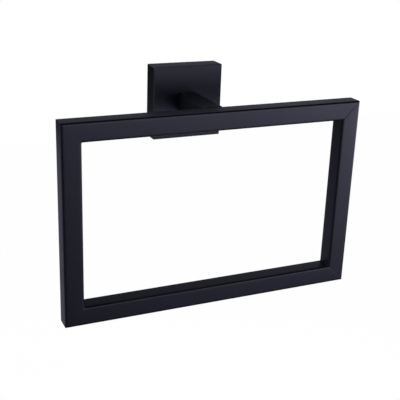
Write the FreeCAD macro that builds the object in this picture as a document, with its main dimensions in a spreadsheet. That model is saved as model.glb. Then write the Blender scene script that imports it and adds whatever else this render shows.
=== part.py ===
import FreeCAD, Part
import math
import os
import Sketcher

# A wall-mounted towel ring: an upright frame of four mitred square tubes, held off the wall by a
# square post, and a hollow square cover that hides a bent bracket and is locked on it by a set screw.
# The origin is the centre of the cover's back rim, in the plane of the wall. +Z is up and +X right.
# The room is on the -Y side. All lengths are in millimetres and angles in degrees.

sizes = {
    # ring
    "ring_width": 200,  # outside, along X
    "ring_height": 129,  # outside, along Z
    "tube_size": 12.2,  # outside, across the flats, with its coat; the post is as thick
    "tube_wall": 1.3,
    "tube_edge_radius": 1,  # outside corners of the section
    "tube_bore_radius": 0.4,  # inside corners of the section
    # post
    "post_length": 40.5,  # from the cover's face to the ring's back
    "post_edge_radius": 1,
    "spigot_size": 8,  # square tongue that keeps the post from turning
    "spigot_shortfall": 0.3,  # how far the tongue stays inside the cover's front wall
    "spigot_play": 0.1,  # gap on each side of the tongue
    "thread_run_out": 3,  # depth of the tapped hole past the screw's end
    # wall cover
    "cover_size": 48.2,
    "cover_depth": 12.3,
    "cover_wall": 2,
    "cover_front_wall": 2,
    "cover_edge_radius": 0.6,
    "cover_core_radius": 1.5,  # corners of the hollow
    "boss_width": 9,  # pad inside the top wall that gives the set screw its thread
    "boss_height": 2,
    "boss_set_back": 1,  # from the wall
    "lug_width": 14,  # wedge inside the bottom wall that hooks behind the bracket
    "lug_set_back": 1.5,
    "lug_depth": 4,
    # wall bracket
    "bracket_thickness": 2,
    "bracket_side_room": 4,  # from the bracket's sides to the cover's walls
    "flange_room": 4.5,  # from a flange's outer face, where the set screw bears on it, to the cover's wall
    "bracket_depth": 8.5,  # how far the flanges stand off the wall
    "flange_flare": 10,  # angle of the flanges, away from the middle
    "bend_radius": 1,  # inside of the bends
    "slot_length": 7.5,
    "slot_width": 4.5,
    "slot_edge": 3.35,  # metal between a slot's end and the bracket's side
    "seat_play": 0.05,  # left where the lug and the set screw bear on the flanges
    # screws and washer
    "set_screw_radius": 1.5,
    "set_screw_from_wall": 4,
    "set_screw_recess": 0.3,  # below the cover's top face
    "set_screw_tip_radius": 0.6,
    "set_screw_socket": 1.5,  # across the flats
    "set_screw_socket_depth": 1.4,
    "post_screw_radius": 2.5,
    "post_screw_length": 12,
    "post_screw_chamfer": 0.6,
    "post_screw_head_radius": 4.75,
    "post_screw_head_height": 2.75,
    "post_screw_head_round": 2,
    "post_screw_socket": 3,  # across the flats
    "post_screw_socket_depth": 1.6,
    "washer_radius": 7,
    "washer_thickness": 1,
    "washer_play": 0.2,  # round the screw's shank
    "thread_play": 0.05,  # between a screw's crests and its tapped hole
    "cut_overrun": 1,  # how far a cutting outline reaches past the material
}

doc = FreeCAD.newDocument("TowelRing")
sheet = doc.addObject("Spreadsheet::Sheet", "Sizes")
for row, (alias, number) in enumerate(sizes.items(), 1):
    sheet.set(f"A{row}", alias)
    sheet.set(f"B{row}", str(number))
    sheet.setAlias(f"B{row}", alias)
doc.recompute()


# Drawing helpers: every coordinate and size that they take is an expression on the sheet

def value(expression):
    """The number that an expression gives with the sheet as it is."""
    return float(sheet.evalExpression(expression))


def new_body(label, x="0", y="0", z="0", turn=0):
    """A body whose own frame is turned about Y and placed at three expressions."""
    body = doc.addObject("PartDesign::Body", label)
    body.Label = label
    body.Placement = FreeCAD.Placement(FreeCAD.Vector(), FreeCAD.Rotation(FreeCAD.Vector(0, 1, 0), turn))
    for axis, expression in zip("xyz", (x, y, z)):
        body.setExpression(f"Placement.Base.{axis}", expression)
    return body


def new_sketch(body, name, role, offset="0"):
    """A sketch on one of the body's own origin planes, moved along the plane's normal."""
    plane = next(item for item in body.Origin.OriginFeatures if item.Role == role)
    sketch = body.newObject("Sketcher::SketchObject", name)
    sketch.AttachmentSupport = (plane, [""])
    sketch.MapMode = "FlatFace"
    sketch.setExpression("AttachmentOffset.Base.z", offset)
    return sketch


def bind(sketch, kind, *places, to):
    """Adds a dimension to the sketch and ties it to an expression."""
    index = sketch.addConstraint(Sketcher.Constraint(kind, *places, value(to)))
    sketch.setExpression(f"Constraints[{index}]", to)


def pin(sketch, geometry, point, x, y):
    """Ties a point of the sketch to its place from the sketch's origin."""
    bind(sketch, "DistanceX", -1, 1, geometry, point, to=x)
    bind(sketch, "DistanceY", -1, 1, geometry, point, to=y)


def outline(sketch, corners):
    """A closed outline of straight lines."""
    points = [FreeCAD.Vector(value(x), value(y), 0) for x, y in corners]
    lines = []
    for start, end in zip(points, points[1:] + points[:1]):
        lines.append(sketch.addGeometry(Part.LineSegment(start, end), False))
    for line, following in zip(lines, lines[1:] + lines[:1]):
        sketch.addConstraint(Sketcher.Constraint("Coincident", line, 2, following, 1))
    for line, (x, y) in zip(lines, corners):
        pin(sketch, line, 1, x, y)


def rectangle(sketch, low_x, high_x, low_y, high_y):
    outline(sketch, [(low_x, low_y), (high_x, low_y), (high_x, high_y), (low_x, high_y)])


def square(sketch, side):
    rectangle(sketch, f"-({side}) / 2", f"({side}) / 2", f"-({side}) / 2", f"({side}) / 2")


def hexagon(sketch, across_flats):
    reach = f"({across_flats}) / sqrt(3)"
    turns = range(0, 360, 60)
    outline(sketch, [(f"{reach} * cos({turn} deg)", f"{reach} * sin({turn} deg)") for turn in turns])


def circle(sketch, radius, x="0", y="0"):
    centre = FreeCAD.Vector(value(x), value(y), 0)
    index = sketch.addGeometry(Part.Circle(centre, FreeCAD.Vector(0, 0, 1), value(radius)), False)
    pin(sketch, index, 3, x, y)
    bind(sketch, "Radius", index, to=radius)


def slot(sketch, x, length, width):
    """A slot along the sketch's x axis with round ends, centred at x."""
    near_x = f"{x} - ({length} - {width}) / 2"
    far_x = f"{x} + ({length} - {width}) / 2"
    radius = value(width) / 2
    near = FreeCAD.Vector(value(near_x), 0, 0)
    far = FreeCAD.Vector(value(far_x), 0, 0)
    up = FreeCAD.Vector(0, radius, 0)
    top = sketch.addGeometry(Part.LineSegment(near + up, far + up), False)
    bottom = sketch.addGeometry(Part.LineSegment(far - up, near - up), False)
    ends = []
    for centre, start in ((far, -math.pi / 2), (near, math.pi / 2)):
        full_circle = Part.Circle(centre, FreeCAD.Vector(0, 0, 1), radius)
        ends.append(sketch.addGeometry(Part.ArcOfCircle(full_circle, start, start + math.pi), False))
    far_end, near_end = ends
    sketch.addConstraint(Sketcher.Constraint("Tangent", top, 2, far_end, 2))
    sketch.addConstraint(Sketcher.Constraint("Tangent", far_end, 1, bottom, 1))
    sketch.addConstraint(Sketcher.Constraint("Tangent", bottom, 2, near_end, 2))
    sketch.addConstraint(Sketcher.Constraint("Tangent", near_end, 1, top, 1))
    sketch.addConstraint(Sketcher.Constraint("Equal", far_end, near_end))
    pin(sketch, far_end, 3, far_x, "0")
    pin(sketch, near_end, 3, near_x, "0")
    bind(sketch, "Radius", far_end, to=f"{width} / 2")


# Feature helpers

def pad(body, sketch, length, both_ways=False, reverse=False):
    feature = body.newObject("PartDesign::Pad", "Pad")
    feature.Profile = sketch
    feature.SideType = "Symmetric" if both_ways else "One side"
    feature.Reversed = reverse
    feature.setExpression("Length", length)
    doc.recompute()


def pocket(body, sketch, length, both_ways=False, reverse=False):
    """Cuts the sketch out of the body, and stops the build if nothing was cut."""
    before = body.Shape.Volume
    feature = body.newObject("PartDesign::Pocket", "Pocket")
    feature.Profile = sketch
    feature.SideType = "Symmetric" if both_ways else "One side"
    feature.Reversed = reverse
    feature.setExpression("Length", length)
    doc.recompute()
    if body.Shape.Volume >= before:
        raise RuntimeError(f"{sketch.Name} cuts nothing")


def revolve(body, sketch, axis):
    feature = body.newObject("PartDesign::Revolution", "Revolution")
    feature.Profile = sketch
    feature.ReferenceAxis = (sketch, [axis])
    doc.recompute()


def fillet(body, radius, *tests):
    """Rounds the edges of the body so far that pass any of the tests."""
    base = body.Tip
    names = []
    for number, edge in enumerate(base.Shape.Edges, 1):
        if any(test(edge) for test in tests):
            names.append(f"Edge{number}")
    feature = body.newObject("PartDesign::Fillet", "Fillet")
    feature.Base = (base, names)
    feature.setExpression("Radius", radius)
    doc.recompute()


def same(one, other):
    return abs(one - other) < 1e-6


def corner_edge(axis, *reach):
    """A test for edges along one axis that lie at the given distances from the origin on the other two."""
    others = [index for index in range(3) if index != axis]
    reach = [value(expression) for expression in reach]

    def test(edge):
        ends = [vertex.Point for vertex in edge.Vertexes]
        runs_along = len(ends) == 2 and not same(ends[0][axis], ends[1][axis])
        return runs_along and all(
            same(abs(point[index]), distance) for point in ends for index, distance in zip(others, reach)
        )

    return test


def rim_edge(axis, level, radius):
    """A test for the circle round one axis at a level along it."""
    level, radius = value(level), value(radius)

    def test(edge):
        rim = edge.Curve
        return isinstance(rim, Part.Circle) and same(rim.Center[axis], level) and same(rim.Radius, radius)

    return test


# Places that more than one piece shares

ring_plane = "-(Sizes.cover_depth + Sizes.post_length + Sizes.tube_size / 2)"
cover_half = "Sizes.cover_size / 2"
core_half = "(Sizes.cover_size / 2 - Sizes.cover_wall)"
core_depth = "(Sizes.cover_depth - Sizes.cover_front_wall)"
washer_seat = f"({core_depth} - Sizes.washer_thickness)"
spigot_length = "(Sizes.cover_front_wall - Sizes.spigot_shortfall)"
bracket_reach = f"({core_half} - Sizes.flange_room)"
bracket_width = f"2 * ({core_half} - Sizes.bracket_side_room)"
flare_slope = "tan(Sizes.flange_flare * 1 deg)"


def flange_face(depth):
    """Height of the top flange's outer face at a depth off the wall."""
    return f"({bracket_reach} + ({depth} - Sizes.set_screw_from_wall) * {flare_slope})"


# Ring: square tubes whose ends are cut at 45 degrees, each turned so that its long side is outermost

def ring_tube(label, length, turn, x, z):
    body = new_body(label, x, ring_plane, z, turn)
    half = f"{length} / 2"
    section = new_sketch(body, "section", "YZ_Plane")
    square(section, "Sizes.tube_size")
    square(section, "Sizes.tube_size - 2 * Sizes.tube_wall")
    pad(body, section, length, both_ways=True)
    outer = "Sizes.tube_size / 2"
    inner = "Sizes.tube_size / 2 - Sizes.tube_wall"
    fillet(body, "Sizes.tube_edge_radius", corner_edge(0, outer, outer))
    fillet(body, "Sizes.tube_bore_radius", corner_edge(0, inner, inner))
    mitres = new_sketch(body, "mitres", "XZ_Plane")
    past = "Sizes.cut_overrun"
    for side in ("", "-"):
        outline(mitres, [
            (f"{side}({half} - Sizes.tube_size - {past})", f"-({outer} + {past})"),
            (f"{side}({half} + {past})", f"-({outer} + {past})"),
            (f"{side}({half} + {past})", f"{outer} + {past}"),
        ])
    pocket(body, mitres, f"Sizes.tube_size + 2 * {past}", both_ways=True)


side_x = "(Sizes.ring_width - Sizes.tube_size) / 2"
side_z = "-(Sizes.ring_height - Sizes.tube_size) / 2"
ring_tube("ring_top_tube", "Sizes.ring_width", 0, "0", "0")
ring_tube("ring_bottom_tube", "Sizes.ring_width", 180, "0", f"2 * {side_z}")
ring_tube("ring_left_tube", "Sizes.ring_height", -90, f"-{side_x}", side_z)
ring_tube("ring_right_tube", "Sizes.ring_height", 90, side_x, side_z)

# Post: square bar with a square tongue and a tapped hole at its wall end, which is its own origin

post = new_body("post", y="-Sizes.cover_depth")
section = new_sketch(post, "section", "XZ_Plane")
square(section, "Sizes.tube_size")
pad(post, section, "Sizes.post_length")
fillet(post, "Sizes.post_edge_radius", corner_edge(1, "Sizes.tube_size / 2", "Sizes.tube_size / 2"))
spigot = new_sketch(post, "spigot", "XZ_Plane")
square(spigot, "Sizes.spigot_size")
pad(post, spigot, spigot_length, reverse=True)
screw_reach = f"({washer_seat} + Sizes.post_screw_length - Sizes.cover_depth)"
tapping = new_sketch(post, "tapping", "XZ_Plane", f"-{spigot_length}")
circle(tapping, "Sizes.post_screw_radius + Sizes.thread_play")
pocket(post, tapping, f"{spigot_length} + {screw_reach} + Sizes.thread_run_out", reverse=True)

# Wall cover: shallow square box, open to the wall, with a threaded pad above and a hook wedge below

cover = new_body("wall_cover")
outside = new_sketch(cover, "outside", "XZ_Plane")
square(outside, "Sizes.cover_size")
pad(cover, outside, "Sizes.cover_depth")
fillet(
    cover,
    "Sizes.cover_edge_radius",
    corner_edge(0, "Sizes.cover_depth", cover_half),
    corner_edge(1, cover_half, cover_half),
    corner_edge(2, cover_half, "Sizes.cover_depth"),
)
hollow = new_sketch(cover, "hollow", "XZ_Plane")
square(hollow, f"2 * {core_half}")
pocket(cover, hollow, core_depth, reverse=True)
fillet(cover, "Sizes.cover_core_radius", corner_edge(1, core_half, core_half))
boss = new_sketch(cover, "boss", "XZ_Plane", "Sizes.boss_set_back")
rectangle(
    boss,
    "-Sizes.boss_width / 2",
    "Sizes.boss_width / 2",
    f"{core_half} - Sizes.boss_height",
    f"{core_half} + Sizes.cover_wall / 2",
)
pad(cover, boss, f"{core_depth} - Sizes.boss_set_back")
lug = new_sketch(cover, "lug", "YZ_Plane")
lug_end = "(Sizes.lug_set_back + Sizes.lug_depth)"
outline(lug, [
    ("-Sizes.lug_set_back", f"-({core_half} + Sizes.cover_wall / 2)"),
    ("-Sizes.lug_set_back", f"-({flange_face('Sizes.lug_set_back')} + Sizes.seat_play)"),
    (f"-{lug_end}", f"-({flange_face(lug_end)} + Sizes.seat_play)"),
    (f"-{lug_end}", f"-({core_half} + Sizes.cover_wall / 2)"),
])
pad(cover, lug, "Sizes.lug_width", both_ways=True)
screw_hole = new_sketch(cover, "screw_hole", "XY_Plane", f"{cover_half} + Sizes.cut_overrun")
circle(screw_hole, "Sizes.set_screw_radius + Sizes.thread_play", y="-Sizes.set_screw_from_wall")
pocket(cover, screw_hole, "Sizes.cover_wall + Sizes.boss_height + 2 * Sizes.cut_overrun")
spigot_hole = new_sketch(cover, "spigot_hole", "XZ_Plane", f"{core_depth} - Sizes.cut_overrun")
square(spigot_hole, "Sizes.spigot_size + 2 * Sizes.spigot_play")
pocket(cover, spigot_hole, "Sizes.cover_front_wall + 2 * Sizes.cut_overrun", reverse=True)

# Wall bracket: strip bent to a channel with flared flanges, and two slots for the wall screws

bracket = new_body("wall_bracket")
channel = new_sketch(bracket, "channel", "YZ_Plane")
flare = "(Sizes.flange_flare * 1 deg)"
tip_back = f"(Sizes.bracket_depth + Sizes.bracket_thickness * sin{flare})"
tip_height = f"({flange_face('Sizes.bracket_depth')} - Sizes.bracket_thickness * cos{flare})"
inner_height = f"({flange_face('Sizes.bracket_thickness')} - Sizes.bracket_thickness / cos{flare})"
upper_half = [
    ("0", flange_face("0")),
    ("-Sizes.bracket_depth", flange_face("Sizes.bracket_depth")),
    (f"-{tip_back}", tip_height),
    ("-Sizes.bracket_thickness", inner_height),
]
lower_half = [(depth, f"-{height}") for depth, height in reversed(upper_half)]
outline(channel, upper_half + lower_half)
pad(bracket, channel, bracket_width, both_ways=True)
fillet(bracket, "Sizes.bend_radius + Sizes.bracket_thickness", corner_edge(0, "0", flange_face("0")))
fillet(bracket, "Sizes.bend_radius", corner_edge(0, "Sizes.bracket_thickness", inner_height))
slots = new_sketch(bracket, "slots", "XZ_Plane")
slot_middle = f"({bracket_width} / 2 - Sizes.slot_edge - Sizes.slot_length / 2)"
for side in ("", "-"):
    slot(slots, f"{side}{slot_middle}", "Sizes.slot_length", "Sizes.slot_width")
pocket(bracket, slots, "2 * Sizes.bracket_thickness", reverse=True)

# Set screw: cone-pointed, its axis along Z, bearing on the slope of the top flange

set_screw_end = (
    f"({flange_face('(Sizes.set_screw_from_wall + Sizes.set_screw_tip_radius)')} + Sizes.seat_play)"
)
set_screw_length = f"({cover_half} - Sizes.set_screw_recess - {set_screw_end})"
cone_height = "(Sizes.set_screw_radius - Sizes.set_screw_tip_radius)"
set_screw = new_body(
    "cover_set_screw", y="-Sizes.set_screw_from_wall", z=f"{cover_half} - Sizes.set_screw_recess"
)
profile = new_sketch(set_screw, "profile", "XZ_Plane")
outline(profile, [
    ("0", "0"),
    ("Sizes.set_screw_radius", "0"),
    ("Sizes.set_screw_radius", f"-({set_screw_length} - {cone_height})"),
    ("Sizes.set_screw_tip_radius", f"-{set_screw_length}"),
    ("0", f"-{set_screw_length}"),
])
revolve(set_screw, profile, "V_Axis")
socket = new_sketch(set_screw, "socket", "XY_Plane")
hexagon(socket, "Sizes.set_screw_socket")
pocket(set_screw, socket, "Sizes.set_screw_socket_depth")

# Post screw: round-headed, its axis along Y and its origin under the head, with the tip in the post

post_screw = new_body("post_screw", y=f"-{washer_seat}")
profile = new_sketch(post_screw, "profile", "YZ_Plane")
outline(profile, [
    ("-Sizes.post_screw_length", "0"),
    ("-Sizes.post_screw_length", "Sizes.post_screw_radius - Sizes.post_screw_chamfer"),
    ("-(Sizes.post_screw_length - Sizes.post_screw_chamfer)", "Sizes.post_screw_radius"),
    ("0", "Sizes.post_screw_radius"),
    ("0", "Sizes.post_screw_head_radius"),
    ("Sizes.post_screw_head_height", "Sizes.post_screw_head_radius"),
    ("Sizes.post_screw_head_height", "0"),
])
revolve(post_screw, profile, "H_Axis")
fillet(
    post_screw,
    "Sizes.post_screw_head_round",
    rim_edge(1, "Sizes.post_screw_head_height", "Sizes.post_screw_head_radius"),
)
socket = new_sketch(post_screw, "socket", "XZ_Plane", "-Sizes.post_screw_head_height")
hexagon(socket, "Sizes.post_screw_socket")
pocket(post_screw, socket, "Sizes.post_screw_socket_depth", reverse=True)

# Washer between the post screw's head and the inside of the cover

washer = new_body("post_washer", y=f"-{washer_seat}")
ring = new_sketch(washer, "ring", "XZ_Plane")
circle(ring, "Sizes.washer_radius")
circle(ring, "Sizes.post_screw_radius + Sizes.washer_play")
pad(washer, ring, "Sizes.washer_thickness")

# Check and write

doc.recompute()
for item in doc.Objects:
    if "Invalid" in item.State or "Error" in item.State:
        raise RuntimeError(f"{item.Name} failed: {item.State}")
bodies = [item for item in doc.Objects if item.TypeId == "PartDesign::Body"]
for body in bodies:
    if body.Shape.isNull() or not body.Shape.isValid() or len(body.Shape.Solids) != 1:
        raise RuntimeError(f"{body.Label} isn't one valid solid")
os.makedirs("parts", exist_ok=True)
for body in bodies:
    body.Shape.exportStep(f"parts/{body.Label}.step")
    box = body.Shape.BoundBox
    print(f"{body.Label}: volume {body.Shape.Volume:.1f}, from {box.XMin:.2f} {box.YMin:.2f} {box.ZMin:.2f}"
          f" to {box.XMax:.2f} {box.YMax:.2f} {box.ZMax:.2f}")
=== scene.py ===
import math

import bpy
import numpy as np
from mathutils import Matrix, Vector


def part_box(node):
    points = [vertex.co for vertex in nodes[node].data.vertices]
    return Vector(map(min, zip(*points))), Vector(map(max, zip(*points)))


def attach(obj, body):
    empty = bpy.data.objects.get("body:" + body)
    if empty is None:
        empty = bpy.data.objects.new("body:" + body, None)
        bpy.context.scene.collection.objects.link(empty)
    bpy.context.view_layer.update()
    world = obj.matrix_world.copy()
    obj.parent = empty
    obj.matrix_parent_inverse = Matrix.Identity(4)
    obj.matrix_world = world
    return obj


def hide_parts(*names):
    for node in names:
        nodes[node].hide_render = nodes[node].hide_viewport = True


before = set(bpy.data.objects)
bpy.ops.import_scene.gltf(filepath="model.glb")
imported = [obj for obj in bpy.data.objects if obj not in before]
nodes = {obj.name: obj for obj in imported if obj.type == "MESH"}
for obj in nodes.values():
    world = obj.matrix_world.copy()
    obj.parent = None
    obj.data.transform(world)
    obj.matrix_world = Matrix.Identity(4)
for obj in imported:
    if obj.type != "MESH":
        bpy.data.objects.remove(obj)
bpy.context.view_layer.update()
mm = 0.001


def solidBox(name):
    # the lowest and highest corner of a solid, in millimetres
    low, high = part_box(name)
    return [[float(place) / mm for place in corner] for corner in (low, high)]


print("frame loaded:", len(nodes), "nodes")


# Camera, as the photograph was taken: from the left and above, with a long lens
camera = {
    "place": (-0.213060, -0.497190, 0.125695),
    "azimuth": -24.856,  # degrees round from the front, negative to the left
    "elevation": 20.1776,
    "roll": 2.1024,
    "lens": 73.4668,
}


def makeCamera(view):
    azimuth, elevation, roll = (math.radians(view[name]) for name in ("azimuth", "elevation", "roll"))
    forward = Vector((
        -math.sin(azimuth) * math.cos(elevation),
        math.cos(azimuth) * math.cos(elevation),
        -math.sin(elevation),
    ))
    levelRight = forward.cross(Vector((0, 0, 1))).normalized()
    levelUp = levelRight.cross(forward)
    right = math.cos(roll) * levelRight + math.sin(roll) * levelUp
    up = math.cos(roll) * levelUp - math.sin(roll) * levelRight
    data = bpy.data.cameras.new("photoCamera")
    data.lens = view["lens"]
    data.sensor_width = 36
    data.clip_start = 0.01
    item = bpy.data.objects.new("photoCamera", data)
    turn = Matrix((right, up, -forward)).transposed()
    item.matrix_world = Matrix.Translation(view["place"]) @ turn.to_4x4()
    bpy.context.scene.collection.objects.link(item)
    bpy.context.scene.camera = item


makeCamera(camera)
print("camera placed")


# Shader maths as plain expressions: a Wire holds one output of a node
class Wire:
    def __init__(self, tree, socket):
        self.tree = tree
        self.socket = socket

    def maths(self, operation, *inputs):
        return addNode(self.tree, "ShaderNodeMath", {"operation": operation}, dict(enumerate(inputs)))

    def __add__(self, other):
        return self.maths("ADD", self, other)

    def __sub__(self, other):
        return self.maths("SUBTRACT", self, other)

    def __rsub__(self, other):
        return self.maths("SUBTRACT", other, self)

    def __mul__(self, other):
        return self.maths("MULTIPLY", self, other)

    def __truediv__(self, other):
        return self.maths("DIVIDE", self, other)

    def __abs__(self):
        return self.maths("ABSOLUTE", self)

    __radd__ = __add__
    __rmul__ = __mul__

    def least(self, other):
        return self.maths("MINIMUM", self, other)

    def most(self, other):
        return self.maths("MAXIMUM", self, other)

    def clamped(self):
        return self.most(0.0).least(1.0)


def addNode(tree, kind, settings=None, inputs=None, output=0):
    # settings are set first, then every input takes a Wire or a value, and one output comes back
    node = tree.nodes.new(kind)
    for name, setting in (settings or {}).items():
        setattr(node, name, setting)
    for name, given in (inputs or {}).items():
        if isinstance(given, Wire):
            tree.links.new(given.socket, node.inputs[name])
        else:
            node.inputs[name].default_value = given
    return Wire(tree, node.outputs[output]) if node.outputs else None


def newMaterial(name):
    material = bpy.data.materials.new(name)
    material.use_nodes = True
    material.node_tree.nodes.clear()
    return material, material.node_tree


def finishMaterial(tree, inputs):
    surface = addNode(tree, "ShaderNodeBsdfPrincipled", None, inputs)
    addNode(tree, "ShaderNodeOutputMaterial", None, {"Surface": surface})


def placeInPiece(tree):
    # the point's own x, y and z in millimetres, and the point itself in metres
    point = addNode(tree, "ShaderNodeTexCoord", output="Object")
    axes = [addNode(tree, "ShaderNodeSeparateXYZ", None, {0: point}, axis) for axis in "XYZ"]
    return point, [axis / mm for axis in axes]


def noise(tree, point, size, detail=2.0, stretch=(1, 1, 1)):
    # a soft random pattern whose lumps are about that many millimetres across
    scaled = addNode(tree, "ShaderNodeMapping", None, {"Vector": point, "Scale": stretch})
    inputs = {"Vector": scaled, "Scale": 1 / (size * mm), "Detail": detail}
    return addNode(tree, "ShaderNodeTexNoise", None, inputs)


def relief(tree, height):
    # a bump whose height is in millimetres
    return addNode(tree, "ShaderNodeBump", None, {"Height": height * mm, "Distance": 1.0, "Strength": 1.0})


def blend(tree, factor, first, second):
    inputs = {0: factor, 6: (*first, 1), 7: (*second, 1)}
    return addNode(tree, "ShaderNodeMix", {"data_type": "RGBA"}, inputs, 2)


# Black powder coat: satin, with a fine orange peel, and thinner on the edges than on the flats; on the cover
# a highlight is painted along the edges as a much lighter colour
coat = {
    "flatColour": {
        "ring": (0.0012, 0.0018, 0.0022),
        "post": (0.0055, 0.0058, 0.0065),
        "cover": (0.0012, 0.0018, 0.0022),
    },
    "edgeColourAndHighlight": {
        "ring": (0.0024, 0.0024, 0.0032),
        "post": (0.0038, 0.0040, 0.0048),
        # painted highlight: the cover's edges take a far lighter colour than its flats, standing in for the
        # light line along them
        "cover": (0.055, 0.055, 0.068),
    },
    "edgeWidth": {"ring": 1.4, "post": 1.4, "cover": 0.6},
    "edgeStrength": 0.55,
    "edgeUnevenness": 0.9,
    "edgeGloss": {"ring": 0.04, "post": 0.08, "cover": 0.04},  # taken off the roughness on the edges
    "roughness": 0.35,
    "roughnessDrift": 0.10,
    "driftSize": 16.0,
    "cloudSize": 5.0,
    "cloudShare": 0.5,  # of the clouds against the drift
    "peelSize": 1.3,
    "peelDepth": 0.009,
    "grainSize": 0.22,
    "grainDepth": 0.0010,
    "glossTint": {
        "ring": (0.72, 0.725, 1.0, 1.0),
        "post": (0.72, 0.725, 1.0, 1.0),
        "cover": (0.595, 0.614, 0.830, 1.0),
    },
}


def blackCoat(name, part, edgeDistance):
    # the roughness wanders about its middle, and every noise has a middle of a half
    material, tree = newMaterial(name)
    point, axes = placeInPiece(tree)
    drift = noise(tree, point, coat["driftSize"])
    cloud = noise(tree, point, coat["cloudSize"], 3.0)
    # near the edges the colour turns to the edge colour (a little lighter for the thinner coat on the ring, a
    # painted highlight on the cover), and the roughness drops
    nearEdge = (1.0 - edgeDistance(*axes) / coat["edgeWidth"][part]).clamped()
    edge = (nearEdge * (coat["edgeStrength"] + cloud * coat["edgeUnevenness"])).clamped()
    wander = drift + cloud * coat["cloudShare"] - (1 + coat["cloudShare"]) / 2
    roughness = coat["roughness"] + wander * coat["roughnessDrift"]
    peel = noise(tree, point, coat["peelSize"], 1.0) * coat["peelDepth"]
    grain = noise(tree, point, coat["grainSize"]) * coat["grainDepth"]
    finishMaterial(tree, {
        "Base Color": blend(tree, edge, coat["flatColour"][part], coat["edgeColourAndHighlight"][part]),
        "Roughness": roughness - edge * coat["edgeGloss"][part],
        "Specular Tint": coat["glossTint"][part],
        "Normal": relief(tree, peel + grain),
    })
    return material


topLow, topHigh = solidBox("ring_top_tube")
bottomLow, bottomHigh = solidBox("ring_bottom_tube")
postLow, postHigh = solidBox("post")
coverLow, coverHigh = solidBox("wall_cover")
ring = {
    "halfWidth": topHigh[0],
    "halfHeight": (topHigh[2] - bottomLow[2]) / 2,
    "tube": topHigh[2] - topLow[2],
    "middleY": (topLow[1] + topHigh[1]) / 2,
    "middleZ": (topHigh[2] + bottomLow[2]) / 2,
}


def ringEdge(x, y, z):
    # a point lies in the tube whose centre line it is further outside of
    half = ring["tube"] / 2
    pastSides = abs(x) - (ring["halfWidth"] - half)
    pastEnds = abs(z - ring["middleZ"]) - (ring["halfHeight"] - half)
    return (half - abs(pastSides.most(pastEnds))).most(half - abs(y - ring["middleY"]))


def postEdge(x, y, z):
    return (postHigh[0] - abs(x)).most(postHigh[2] - abs(z))


def coverEdge(x, y, z):
    # of the distances to the three nearest faces, the middle one
    left, deep, high = coverHigh[0] - abs(x), -coverLow[1] - abs(y), coverHigh[2] - abs(z)
    return left.most(deep).least(left.most(high)).least(deep.most(high))


coatOnRing = blackCoat("coatOnRing", "ring", ringEdge)
coatOnPost = blackCoat("coatOnPost", "post", postEdge)
coatAndEdgeHighlightOnCover = blackCoat("coatAndEdgeHighlightOnCover", "cover", coverEdge)


# Bright zinc on rolled strip, for the bracket and the washer
zinc = {
    "light": (0.60, 0.61, 0.63),
    "dull": (0.44, 0.45, 0.47),
    "roughness": 0.30,
    "cloudSize": 7.0,
    "cloudContrast": 1.5,
    "cloudRoughness": 0.16,
    "rollSize": 0.5,
    "rollStretch": (0.04, 1, 1),
    "rollDepth": 0.004,
    "rollRoughness": 0.06,
    "pitSize": 0.35,
    "pitDepth": 0.002,
}


def zincPlate(name):
    material, tree = newMaterial(name)
    point, _ = placeInPiece(tree)
    clouds = noise(tree, point, zinc["cloudSize"], 4.0)
    rolled = noise(tree, point, zinc["rollSize"], 2.0, zinc["rollStretch"])
    pits = noise(tree, point, zinc["pitSize"])
    dullness = ((clouds - 0.5) * zinc["cloudContrast"] + 0.5).clamped()
    finishMaterial(tree, {
        "Base Color": blend(tree, dullness, zinc["light"], zinc["dull"]),
        "Metallic": 1.0,
        "Roughness": zinc["roughness"] + clouds * zinc["cloudRoughness"] + rolled * zinc["rollRoughness"],
        "Normal": relief(tree, rolled * zinc["rollDepth"] + pits * zinc["pitDepth"]),
    })
    return material


zincOnStrip = zincPlate("zincOnStrip")


# Stainless steel for the screws, with the fine rings that turning leaves round the axis
steel = {
    "colour": (0.53, 0.53, 0.54),
    "worn": (0.42, 0.41, 0.41),
    "roughness": 0.26,
    "smudgeSize": 2.5,
    "smudgeRoughness": 0.14,
    "ringsPerMillimetre": 14.0,
    "ringDepth": 0.003,
    "shine": {"setScrew": 0.10, "postScrew": 1.0},  # how metallic: the set screw is made mostly matt and pale, so that its end shows as a painted glint in the cover's top
}


def turnedSteel(name, shine, axis, centre):
    material, tree = newMaterial(name)
    point, axes = placeInPiece(tree)
    offsets = [place - middle for place, middle in zip(axes, centre)]
    across = [offset * offset for index, offset in enumerate(offsets) if index != axis]
    squares = across[0] + across[1]
    reach = squares.maths("SQRT", squares)
    turning = {"W": reach, "Scale": steel["ringsPerMillimetre"], "Detail": 3.0}
    rings = addNode(tree, "ShaderNodeTexNoise", {"noise_dimensions": "1D"}, turning)
    smudge = noise(tree, point, steel["smudgeSize"], 3.0)
    finishMaterial(tree, {
        "Base Color": blend(tree, smudge, steel["colour"], steel["worn"]),
        "Metallic": steel["shine"][shine],
        "Roughness": steel["roughness"] + smudge * steel["smudgeRoughness"],
        "Normal": relief(tree, rings * steel["ringDepth"]),
    })
    return material


# painted glint: the set screw's pale, mostly matt steel lights up where it shows in the top of the cover
steelWithPaintedGlintOnSetScrew = turnedSteel("steelWithPaintedGlintOnSetScrew", "setScrew", 2, (0.0, -4.0, 0.0))
steelOnPostScrew = turnedSteel("steelOnPostScrew", "postScrew", 1, (0.0, 0.0, 0.0))
print("materials made")


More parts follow.
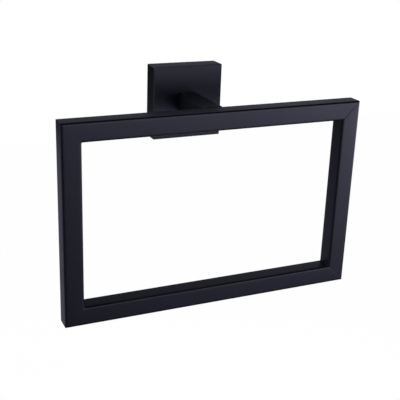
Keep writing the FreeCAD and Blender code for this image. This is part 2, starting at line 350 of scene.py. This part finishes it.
# Surfaces: a grid of points becomes a closed mesh, with a tip at each end or its last row joined to the first
def makeSurface(name, rows, body, material, stands, ends=None, sharpAngle=35):
    count, around = rows.shape[:2]
    points = rows.reshape(-1, 3)
    index = np.arange(count * around).reshape(count, around)
    if ends is None:
        low, high = index, np.roll(index, -1, axis=0)
    else:
        low, high = index[:-1], index[1:]
    quads = np.stack([low, np.roll(low, -1, axis=1), np.roll(high, -1, axis=1), high], axis=-1)
    quads = quads.reshape(-1, 4)
    triangles = np.stack([quads[:, [0, 1, 2]], quads[:, [0, 2, 3]]], axis=1).reshape(-1, 3)
    faces = quads.tolist()
    if ends is not None:
        tip, top = len(points), len(points) + 1
        points = np.vstack([points, ends])
        opening = np.stack([np.roll(index[0], -1), index[0], np.full(around, tip)], axis=-1)
        closing = np.stack([index[-1], np.roll(index[-1], -1), np.full(around, top)], axis=-1)
        triangles = np.vstack([triangles, opening, closing])
        faces += opening.tolist() + closing.tolist()
    # each triangle spans a signed volume with the origin, and their sum is negative where faces point inwards
    first, second, third = points[triangles].transpose(1, 0, 2)
    if (first * np.cross(second, third)).sum() < 0:
        faces = [face[::-1] for face in faces]
    mesh = bpy.data.meshes.new(name)
    mesh.from_pydata((points * mm).tolist(), [], faces)
    mesh.polygons.foreach_set("use_smooth", np.ones(len(mesh.polygons), bool))
    mesh.set_sharp_from_angle(angle=math.radians(sharpAngle))
    mesh.materials.append(material)
    mesh.update()
    item = bpy.data.objects.new(name, mesh)
    bpy.context.scene.collection.objects.link(item)
    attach(item, body)
    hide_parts(stands)
    return item


# Ring tubes: hollow, mitred, with a shallow dip where the ground weld seam shows through the coat
tube = {
    "half": ring["tube"] / 2,
    "boreHalf": 4.8,
    "rollOff": (8, 8.0, 3),  # where a flat starts to turn down to its edge: degrees, radius and steps
    "edge": (74, 1.05, 8),
    "boreRadius": 0.4,
    "seamReach": 0.40,  # along the tube, from the mitre to where the dip ends
    "seamDepth": {"topLeft": 0.015, "topRight": 0.18, "bottomRight": 0.11, "bottomLeft": 0.015},
    "seamFade": 0.45,  # share of the depth lost from the inner face to the middle, and again to the outer
    "cornerRadius": 0.25,  # of the ring's outer corners, where the weld was ground
    "weldRadius": 0.8,  # of the hollow that the weld leaves in the ring's inner corners
    "mitreRows": (0, 0.06, 0.12, 0.18, 0.25, 0.32, 0.4, 0.55, 0.8, 1.2),  # distances from the mitre
    "middleRows": (-0.6, -0.2, 0.2, 0.6),  # shares of the way from the tube's middle to its mitres
}


def squareOutline(half, rollOff, edge):
    # each corner is three arcs end to end, every step a chord, and flats join the four corners
    turns, radii, steps = zip(rollOff, edge, rollOff)
    angle = np.radians(np.concatenate([[0]] + [
        sum(turns[:part]) + turns[part] * np.arange(1, steps[part] + 1) / steps[part] for part in range(3)
    ]))
    radius = np.repeat(radii, steps)
    inward = np.concatenate([[0], np.cumsum(radius * np.diff(np.cos(angle)))])
    onward = np.concatenate([[0], np.cumsum(radius * np.diff(np.sin(angle)))])
    corner = np.stack([half + inward, half - onward[-1] + onward])
    quarters = np.repeat(np.arange(4) * math.pi / 2, len(angle))
    around = np.tile(corner, 4)
    turned = np.stack([
        around[0] * np.cos(quarters) - around[1] * np.sin(quarters),
        around[0] * np.sin(quarters) + around[1] * np.cos(quarters),
    ])
    facing = np.tile(angle, 4) + quarters
    return turned, np.stack([np.cos(facing), np.sin(facing)])


def tubeRows(length, seams):
    # the rows follow the skin from mitre to mitre and the bore back, so that the last joins the first
    skin, normal = squareOutline(tube["half"], tube["rollOff"], tube["edge"])
    boreTurns = [(turn, tube["boreRadius"], steps) for turn, _, steps in (tube["rollOff"], tube["edge"])]
    bore, _ = squareOutline(tube["boreHalf"], *boreTurns)
    reach = length / 2 - tube["half"]
    rows = [skinRow(skin, normal, distance, -1, length, seams[0]) for distance in tube["mitreRows"]]
    rows += [straightRow(skin, share * reach) for share in tube["middleRows"]]
    rows += [skinRow(skin, normal, distance, 1, length, seams[1]) for distance in reversed(tube["mitreRows"])]
    rows = [roundCorner(row, length) for row in rows]
    rows += [mitredRow(bore, 0, side, length) for side in (1, -1)]
    return np.array(rows)


def skinRow(skin, normal, distance, side, length, seam):
    # the skin sinks by half the seam's depth times 1 + cos(180 degrees times the share of the seam's reach)
    share = min(distance / tube["seamReach"], 1)
    dip = tube["seamDepth"][seam] * (1 + math.cos(math.pi * share)) / 2
    fading = 1 - tube["seamFade"] * (1 + skin[0] / tube["half"])
    return mitredRow(fillWeld(skin - dip * fading * normal, distance), distance, side, length)


def fillWeld(section, distance):
    # at a distance d from the mitre, the inner face rises by R - (d + sqrt(2 R^2 - d^2)) / 2:
    # an arc of radius R
    radius = tube["weldRadius"]
    near = min(distance, radius)
    rise = radius - (near + math.sqrt(2 * radius**2 - near**2)) / 2
    depth = np.clip(-section[0] / tube["half"], 0, 1) ** 3
    return section - np.stack([rise * depth, 0 * depth])


def mitredRow(section, distance, side, length):
    # the mitre's place along the tube is half the length, less the depth below the outer face
    out, deep = section
    along = side * (length / 2 - tube["half"] + out - distance)
    return np.stack([along, deep, out], axis=-1)


def straightRow(section, along):
    out, deep = section
    return np.stack([np.full(len(out), along), deep, out], axis=-1)


def roundCorner(row, length):
    # square rings round the corner's own centre are drawn in to circles of the same reach
    radius = tube["cornerRadius"]
    along = np.abs(row[:, 0]) - (length / 2 - radius)
    out = row[:, 2] - (tube["half"] - radius)
    inside = (along > 0) & (out > 0)
    reach = np.hypot(along, out)
    scale = np.where(inside & (reach > 0), np.maximum(along, out) / np.where(reach > 0, reach, 1), 1)
    moved = row.copy()
    moved[:, 0] = np.where(inside, np.sign(row[:, 0]) * (length / 2 - radius + along * scale), row[:, 0])
    moved[:, 2] = np.where(inside, tube["half"] - radius + out * scale, row[:, 2])
    return moved


def makeTube(name, node, length, turn, x, z, seams):
    rows = tubeRows(length, seams)
    angle = math.radians(turn)
    placed = np.empty_like(rows)
    placed[..., 0] = x + rows[..., 0] * math.cos(angle) + rows[..., 2] * math.sin(angle)
    placed[..., 1] = ring["middleY"] + rows[..., 1]
    placed[..., 2] = z - rows[..., 0] * math.sin(angle) + rows[..., 2] * math.cos(angle)
    return makeSurface(name, placed, "root", coatOnRing, node)


sideX = ring["halfWidth"] - tube["half"]
middleZ = ring["middleZ"]
width, height = 2 * ring["halfWidth"], 2 * ring["halfHeight"]
makeTube("ringTopTube", "ring_top_tube", width, 0, 0, 0, ("topLeft", "topRight"))
makeTube("ringBottomTube", "ring_bottom_tube", width, 180, 0, 2 * middleZ, ("bottomRight", "bottomLeft"))
makeTube("ringLeftTube", "ring_left_tube", height, -90, -sideX, middleZ, ("bottomLeft", "topLeft"))
makeTube("ringRightTube", "ring_right_tube", height, 90, sideX, middleZ, ("topRight", "bottomRight"))
print("ring tubes made")


# Screws: a profile turned round the axis, with a helical thread on the shank and a hexagon in the end
screw = {
    "around": 48,
    "rowsPerTurn": 12,
    "grooveSlope": 1.35,  # over 1 makes the groove's bottom flat
    "grooveStart": 0.12,  # over 0 makes the crest flat
    "socketChamfer": 0.08,
    "socketCone": 0.2,
}


def hexagonReach(angle, acrossFlats):
    # the distance from the centre to the hexagon's side in each direction
    return acrossFlats / 2 / np.cos((angle + math.pi / 6) % (math.pi / 3) - math.pi / 6)


def threadReach(angle, height, radius, pitch, depth, fade):
    # flat crests at the full radius, and flat-bottomed grooves that climb one pitch in each turn
    phase = (height / pitch + angle / (2 * math.pi)) % 1
    groove = np.clip((1 - np.abs(2 * phase - 1)) * screw["grooveSlope"] - screw["grooveStart"], 0, 1)
    return radius - depth * fade * groove


def screwRows(shape):
    # heights run from the tip, at 0, to the end with the socket, and the thread fades in and out at its ends
    angle = np.arange(screw["around"]) * 2 * math.pi / screw["around"]
    pitch, tipHeight, threadEnd = shape["pitch"], shape["tipHeight"], shape["threadEnd"]
    rows = []

    def add(height, reach):
        reach = np.broadcast_to(reach, angle.shape)
        level = np.full(angle.shape, height)
        rows.append(np.stack([reach * np.cos(angle), reach * np.sin(angle), level], axis=-1))

    add(0, shape["tipRadius"])
    for height in np.arange(tipHeight, threadEnd, pitch / screw["rowsPerTurn"]):
        fade = np.clip(min((height - tipHeight) / pitch, (threadEnd - height) / pitch * 2), 0, 1)
        add(height, threadReach(angle, height, shape["radius"], pitch, shape["threadDepth"], fade))
    for height, reach in shape["head"]:
        add(height, reach)
    top = shape["head"][-1][0]
    bottom = top - shape["socketDepth"]
    socket = hexagonReach(angle, shape["socket"])
    add(top, socket + screw["socketChamfer"])
    add(top - screw["socketChamfer"], socket)
    add(bottom, socket)
    ends = [[0, 0, 0], [0, 0, bottom - screw["socketCone"]]]
    return np.array(rows), np.array(ends, float)


def makeScrew(name, node, shape, material, axis, tip):
    # axis 2 stands the screw up along Z, and axis 1 lays it along Y, its tip always at the given place
    rows, ends = screwRows(shape)
    if axis == 1:
        rows = rows[..., [0, 2, 1]]
        ends = ends[..., [0, 2, 1]]
    return makeSurface(name, rows + tip, "root", material, node, ends + tip, sharpAngle=28)


setScrewLow, setScrewHigh = (corner[2] for corner in solidBox("cover_set_screw"))
setScrewLength = setScrewHigh - setScrewLow
postScrewTip = solidBox("post_screw")[0][1]
washerFace = solidBox("post_washer")[1][1]
setScrew = {
    "place": (0, -4.0, setScrewLow),
    "radius": 1.5,
    "tipRadius": 0.6,
    "tipHeight": 0.9,
    "pitch": 0.5,
    "threadDepth": 0.27,
    "threadEnd": setScrewLength - 0.2,
    "head": [(setScrewLength - 0.16, 1.40), (setScrewLength - 0.05, 1.27), (setScrewLength, 1.18)],
    "socket": 1.5,
    "socketDepth": 1.2,
}
makeScrew("setScrewThreaded", "cover_set_screw", setScrew, steelWithPaintedGlintOnSetScrew, 2, setScrew["place"])

headArc = np.radians(np.linspace(0, 90, 10))
postScrew = {
    "place": (0, postScrewTip, 0),
    "radius": 2.5,
    "tipRadius": 1.9,
    "tipHeight": 0.6,
    "pitch": 0.8,
    "threadDepth": 0.42,
    "threadEnd": 11.2,
    "head": [(11.3, 2.5), (12.0, 2.5), (12.0, 4.6), (12.15, 4.75)]
    + [(12.75 + 2 * math.sin(turn), 2.75 + 2 * math.cos(turn)) for turn in headArc],
    "socket": 3.0,
    "socketDepth": 1.4,
}
makeScrew("postScrewThreaded", "post_screw", postScrew, steelOnPostScrew, 1, postScrew["place"])

washer = {
    "inner": 2.7,
    "outer": 7.0,
    "thickness": 1.0,
    "round": 0.16,
    "faceY": washerFace,
    "around": 72,
}


def makeWasher(shape):
    # a rectangle with rounded corners, carried round the axis and joined to itself
    quarter = np.radians(np.linspace(0, 90, 5))
    turns = np.concatenate([quarter + side * math.pi / 2 for side in range(4)])
    facing = np.repeat([1, -1, -1, 1], 5), np.repeat([1, 1, -1, -1], 5)
    middle, width = (shape["inner"] + shape["outer"]) / 2, (shape["outer"] - shape["inner"]) / 2
    reach = middle + facing[0] * (width - shape["round"]) + shape["round"] * np.cos(turns)
    depth = facing[1] * (shape["thickness"] / 2 - shape["round"]) + shape["round"] * np.sin(turns)
    angle = np.arange(shape["around"]) * 2 * math.pi / shape["around"]
    level = shape["faceY"] - shape["thickness"] / 2 + depth
    rows = np.stack([
        reach[:, None] * np.cos(angle),
        level[:, None] + 0 * angle,
        reach[:, None] * np.sin(angle),
    ], axis=-1)
    return makeSurface("washerRounded", rows, "root", zincOnStrip, "post_washer")


makeWasher(washer)
print("screws and washer made")


# The solids that stay take the same finishes
finishes = {"post": coatOnPost, "wall_cover": coatAndEdgeHighlightOnCover, "wall_bracket": zincOnStrip}
for nodeName, finish in finishes.items():
    for slot in nodes[nodeName].material_slots:
        slot.material = finish
print("finishes assigned")


# Stage: a pale floor far below, a white background, and soft lamps
backdrop = {
    "floorHeight": -0.62,
    "floorHalf": 2.0,
    "floorColour": (0.92, 0.92, 0.92, 1),
    "whiteShare": 0.985,  # of the floor as the camera sees it; the rest is its lit surface, with the shadow
    "mirrored": (0.150, 0.153, 0.215, 1),  # how the floor and the wall behind show in a glossy surface
    "wallShare": 1.26,  # that wall's brightness against the floor's
    "wallMiddle": 0.25,  # sine of the elevation at its middle
    "wallReach": 0.28,  # from its middle to where it ends, above and below
    "wallFade": 0.2,  # the width of its soft edge there
    "wallSide": 0.2,  # how far to the back a direction points where it starts at the sides
    "wallSideFade": 0.5,
    "roomLight": (0.40, 0.40, 0.41, 1),  # on matt surfaces, from all round
}


def makeFloor(shape):
    half, height = shape["floorHalf"], shape["floorHeight"]
    corners = [(-half, -half, height), (half, -half, height), (half, half, height), (-half, half, height)]
    mesh = bpy.data.meshes.new("floor")
    mesh.from_pydata(corners, [], [(0, 1, 2, 3)])
    material, tree = newMaterial("paleFloor")
    pale = addNode(tree, "ShaderNodeBsdfDiffuse", None, {"Color": shape["floorColour"]})
    white = addNode(tree, "ShaderNodeEmission", None, {"Color": (1, 1, 1, 1), "Strength": 1.0})
    mirrored = addNode(tree, "ShaderNodeEmission", None, {"Color": shape["mirrored"], "Strength": 1.0})
    direct = mixShaders(tree, seenDirectly(tree) * shape["whiteShare"], pale, white)
    surface = mixShaders(tree, seenInGloss(tree), direct, mirrored)
    addNode(tree, "ShaderNodeOutputMaterial", None, {"Surface": surface})
    mesh.materials.append(material)
    item = bpy.data.objects.new("floor", mesh)
    bpy.context.scene.collection.objects.link(item)


def mixShaders(tree, factor, first, second):
    return addNode(tree, "ShaderNodeMixShader", None, {0: factor, 1: first, 2: second})


def seenDirectly(tree):
    # 1 for what the camera sees, straight or through glass, and 0 for light on its way to a surface
    straight = addNode(tree, "ShaderNodeLightPath", output="Is Camera Ray")
    return straight.most(addNode(tree, "ShaderNodeLightPath", output="Is Transmission Ray"))


def seenInGloss(tree):
    # 1 for what a glossy surface mirrors
    return addNode(tree, "ShaderNodeLightPath", output="Is Glossy Ray")


def makeWorld(shape):
    world = bpy.data.worlds.new("studio")
    world.use_nodes = True
    tree = world.node_tree
    tree.nodes.clear()
    direction = addNode(tree, "ShaderNodeTexCoord", output="Generated")
    back = addNode(tree, "ShaderNodeSeparateXYZ", None, {0: direction}, "Y")
    up = addNode(tree, "ShaderNodeSeparateXYZ", None, {0: direction}, "Z")
    # the wall fills the low part of the sky behind, with soft edges, and the gloss shows the rest dark
    behind = ((back - shape["wallSide"]) / shape["wallSideFade"]).clamped()
    level = ((shape["wallReach"] - abs(up - shape["wallMiddle"])) / shape["wallFade"]).clamped()
    wall = behind * level * shape["wallShare"]
    room = addNode(tree, "ShaderNodeBackground", None, {"Color": shape["roomLight"], "Strength": 1.0})
    mirrored = addNode(tree, "ShaderNodeBackground", None, {"Color": shape["mirrored"], "Strength": wall})
    white = addNode(tree, "ShaderNodeBackground", None, {"Color": (1, 1, 1, 1), "Strength": 1.0})
    unseen = mixShaders(tree, seenInGloss(tree), room, mirrored)
    surface = mixShaders(tree, seenDirectly(tree), unseen, white)
    addNode(tree, "ShaderNodeOutputWorld", None, {"Surface": surface})
    bpy.context.scene.world = world


# Azimuths and elevations in degrees, distances and sizes in metres
lamps = {
    "keyRight": {"azimuth": 40, "elevation": -10, "distance": 1.0, "size": 0.50, "radiance": 0.86},
    "keyWide": {"azimuth": 50, "elevation": -4, "distance": 1.0, "size": 0.40, "radiance": 1.40},
    "keyFar": {"azimuth": 55, "elevation": 0, "distance": 1.0, "size": 0.40, "radiance": 2.00},
    "keyMiddle": {"azimuth": 30, "elevation": 2, "distance": 1.0, "size": 0.30, "radiance": 1.48},
    "keyHigh": {"azimuth": 20, "elevation": 8, "distance": 1.0, "size": 0.50, "radiance": 0.15},
    "keyNear": {"azimuth": 15, "elevation": 3, "distance": 1.0, "size": 0.30, "radiance": 1.55},
    "keyFront": {"azimuth": 5, "elevation": 0, "distance": 1.0, "size": 0.50, "radiance": 0.74},
    "keyLow": {"azimuth": 20, "elevation": -20, "distance": 0.8, "size": 0.40, "radiance": 0.37},
    "leftSide": {"azimuth": -92, "elevation": 16, "distance": 1.0, "size": 0.70, "radiance": 1.20},
    "leftHigh": {"azimuth": -120, "elevation": 35, "distance": 1.0, "size": 0.60, "radiance": 3.60},
    "leftTop": {"azimuth": -90, "elevation": 60, "distance": 1.0, "size": 0.60, "radiance": 0.50},
    "leftLow": {"azimuth": -170, "elevation": -25, "distance": 1.0, "size": 0.40, "radiance": 0.27},
    "rightHigh": {"azimuth": 150, "elevation": 40, "distance": 1.0, "size": 0.50, "radiance": 0.12},
    "rightBack": {"azimuth": 138, "elevation": 8, "distance": 1.0, "size": 0.40, "radiance": 0.10},
    "rightSide": {"azimuth": 103, "elevation": -6, "distance": 1.0, "size": 0.70, "radiance": 1.60},
    "behind": {"azimuth": 155, "elevation": -16, "distance": 1.0, "size": 0.50, "radiance": 0.80},
}
lampTarget = Vector((0, -0.04, -0.05))
lampColour = (0.950, 0.950, 1.0)


def makeLamp(name, lamp):
    azimuth, elevation = math.radians(lamp["azimuth"]), math.radians(lamp["elevation"])
    outward = Vector((
        math.sin(azimuth) * math.cos(elevation),
        -math.cos(azimuth) * math.cos(elevation),
        math.sin(elevation),
    ))
    data = bpy.data.lights.new(name, "AREA")
    data.shape = "SQUARE"
    data.size = lamp["size"]
    data.color = lampColour
    data.energy = lamp["radiance"] * math.pi * lamp["size"] ** 2
    item = bpy.data.objects.new(name, data)
    item.rotation_euler = (-outward).to_track_quat("-Z", "Y").to_euler()
    item.location = lampTarget + outward * lamp["distance"]
    item.visible_camera = False
    bpy.context.scene.collection.objects.link(item)


makeFloor(backdrop)
makeWorld(backdrop)
for lampName, lampShape in lamps.items():
    makeLamp(lampName, lampShape)
bpy.context.scene.view_settings.view_transform = "Standard"
print("stage set")
